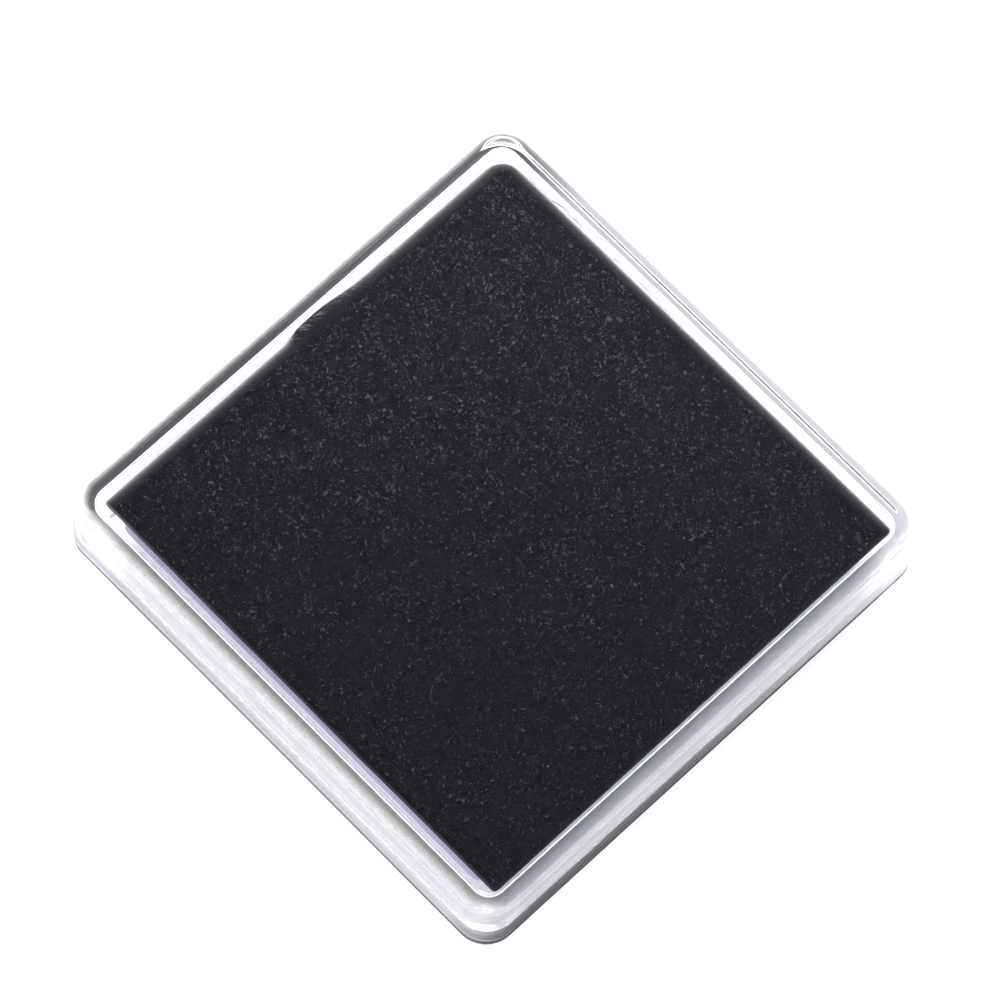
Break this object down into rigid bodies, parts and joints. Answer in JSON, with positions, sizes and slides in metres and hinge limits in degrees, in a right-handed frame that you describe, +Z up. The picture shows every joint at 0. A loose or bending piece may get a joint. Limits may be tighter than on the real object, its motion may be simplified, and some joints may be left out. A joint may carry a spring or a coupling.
{
  "type": "ink pad",
  "caption": "Small square ink pad: a fabric-covered foam pad in a shallow clear tray with a clear lift-off lid.",
  "frame": {"origin": "centre of the tray's flat underside", "axes": "+Z up through the pad to the lid's top; X and Y along the square case's sides"},
  "size_m": [0.04, 0.04, 0.0062],
  "materials": {
    "clear_tray": "clear polished polystyrene",
    "clear_lid": "clear polished polystyrene",
    "foam": "open-cell foam soaked in black ink",
    "ink_fabric": "short-pile fabric soaked in black ink",
    "glue_sheet": "thin double-sided adhesive film"
  },
  "bodies": {
    "tray_body": {"base_tray": "clear_tray", "ink_sponge": "foam", "pad_cover": "ink_fabric", "adhesive_sheet": "glue_sheet"},
    "lid_body": {"lid": "clear_lid"}
  },
  "joints": [
    {"name": "lid_lift", "type": "slide", "parent": "tray_body", "child": "lid_body", "axis": [0, 0, 1], "range_m": [0, 0.025]}
  ]
}
